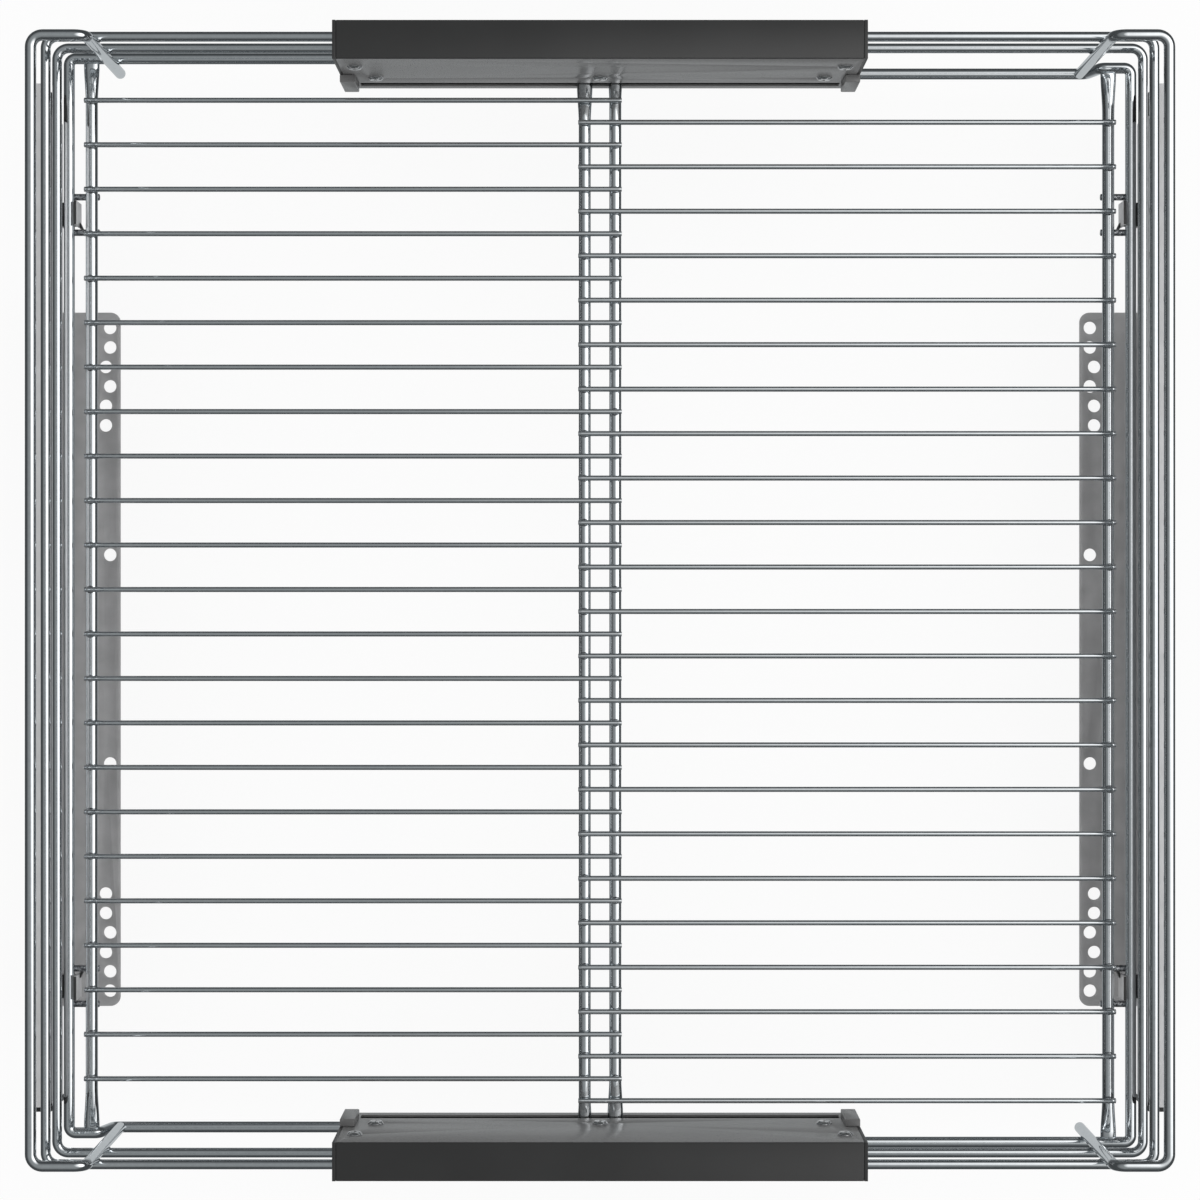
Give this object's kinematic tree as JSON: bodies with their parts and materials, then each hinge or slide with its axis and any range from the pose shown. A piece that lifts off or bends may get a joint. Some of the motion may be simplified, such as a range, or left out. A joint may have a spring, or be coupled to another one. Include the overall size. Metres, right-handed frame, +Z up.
{
  "type": "width-adjustable pull-out wire basket",
  "caption": "Pull-out wire basket: two half baskets slide into a front and a rear cover, and side runners on floor brackets carry it.",
  "frame": {"origin": "on the cabinet floor, under the middle of the basket", "axes": "+Z up, +X to the right across the cabinet, -Y the way the basket pulls out"},
  "size_m": [0.564, 0.55, 0.1312],
  "materials": {
    "chromed_wire": "polished",
    "zinc_steel": "satin zinc plate",
    "bright_steel": "bright",
    "bright_screws": "polished",
    "dark_paint": "fine satin",
    "grey_paint": "fine satin",
    "black_plastic": "moulded",
    "guide_plastic": "moulded"
  },
  "bodies": {
    "left_fixed": {"left_bracket": "zinc_steel", "left_bracket_rivets": "bright_steel", "left_cabinet_rail": "zinc_steel", "left_rear_stop": "black_plastic"},
    "left_outer_cage": {"left_outer_ball_cage": "bright_steel"},
    "left_middle": {"left_middle_rail": "zinc_steel"},
    "left_inner_cage": {"left_inner_ball_cage": "bright_steel"},
    "left_half": {"left_top_frame": "chromed_wire", "left_upper_wire": "chromed_wire", "left_middle_wire": "chromed_wire", "left_base_wire": "chromed_wire", "left_side_floor_bar": "chromed_wire", "left_inner_floor_bar": "chromed_wire", "left_floor_wires": "chromed_wire", "left_clip_bars": "chromed_wire", "left_drawer_rail": "zinc_steel", "left_front_buffer": "black_plastic", "left_hooks": "zinc_steel", "left_hook_latches": "black_plastic"},
    "covers": {"rear_cover_shell": "dark_paint", "rear_inner_plate": "grey_paint", "rear_end_caps": "dark_paint", "rear_end_lugs": "grey_paint", "rear_wire_guides": "guide_plastic", "rear_centre_spacer": "guide_plastic", "rear_cover_screws": "bright_screws", "front_cover_shell": "dark_paint", "front_inner_plate": "grey_paint", "front_end_caps": "dark_paint", "front_end_lugs": "grey_paint", "front_wire_guides": "guide_plastic", "front_centre_spacer": "guide_plastic", "front_cover_screws": "bright_screws"},
    "right_half": {"right_top_frame": "chromed_wire", "right_upper_wire": "chromed_wire", "right_middle_wire": "chromed_wire", "right_base_wire": "chromed_wire", "right_side_floor_bar": "chromed_wire", "right_inner_floor_bar": "chromed_wire", "right_floor_wires": "chromed_wire", "right_clip_bars": "chromed_wire", "right_drawer_rail": "zinc_steel", "right_front_buffer": "black_plastic", "right_hooks": "zinc_steel", "right_hook_latches": "black_plastic"},
    "right_inner_cage": {"right_inner_ball_cage": "bright_steel"},
    "right_middle": {"right_middle_rail": "zinc_steel"},
    "right_outer_cage": {"right_outer_ball_cage": "bright_steel"},
    "right_fixed": {"right_bracket": "zinc_steel", "right_bracket_rivets": "bright_steel", "right_cabinet_rail": "zinc_steel", "right_rear_stop": "black_plastic"}
  },
  "joints": [
    {"name": "pull_out", "type": "slide", "parent": "left_fixed", "child": "left_middle", "axis": [0, -1, 0], "range_m": [0, 0.23]},
    {"name": "left_drawer_slide", "type": "slide", "parent": "left_middle", "child": "left_half", "axis": [0, -1, 0], "range_m": [0, 0.23]},
    {"name": "width_adjust", "type": "slide", "parent": "left_half", "child": "covers", "axis": [-1, 0, 0], "range_m": [0, 0.073]},
    {"name": "right_width_slide", "type": "slide", "parent": "covers", "child": "right_half", "axis": [-1, 0, 0], "range_m": [0, 0.073]},
    {"name": "right_drawer_slide", "type": "slide", "parent": "right_half", "child": "right_middle", "axis": [0, 1, 0], "range_m": [0, 0.23]},
    {"name": "right_runner_slide", "type": "slide", "parent": "right_middle", "child": "right_fixed", "axis": [0, 1, 0], "range_m": [0, 0.23]},
    {"name": "left_outer_cage_roll", "type": "slide", "parent": "left_fixed", "child": "left_outer_cage", "axis": [0, -1, 0], "range_m": [0, 0.115]},
    {"name": "left_inner_cage_roll", "type": "slide", "parent": "left_middle", "child": "left_inner_cage", "axis": [0, -1, 0], "range_m": [0, 0.115]},
    {"name": "right_inner_cage_roll", "type": "slide", "parent": "right_middle", "child": "right_inner_cage", "axis": [0, -1, 0], "range_m": [0, 0.115]},
    {"name": "right_outer_cage_roll", "type": "slide", "parent": "right_fixed", "child": "right_outer_cage", "axis": [0, -1, 0], "range_m": [0, 0.115]}
  ],
  "couplings": [
    {"joint": "left_drawer_slide", "follows": "pull_out", "ratio": 1},
    {"joint": "right_drawer_slide", "follows": "pull_out", "ratio": 1},
    {"joint": "right_runner_slide", "follows": "pull_out", "ratio": 1},
    {"joint": "left_outer_cage_roll", "follows": "pull_out", "ratio": 0.5},
    {"joint": "left_inner_cage_roll", "follows": "pull_out", "ratio": 0.5},
    {"joint": "right_inner_cage_roll", "follows": "pull_out", "ratio": 0.5},
    {"joint": "right_outer_cage_roll", "follows": "pull_out", "ratio": 0.5},
    {"joint": "right_width_slide", "follows": "width_adjust", "ratio": 1}
  ]
}
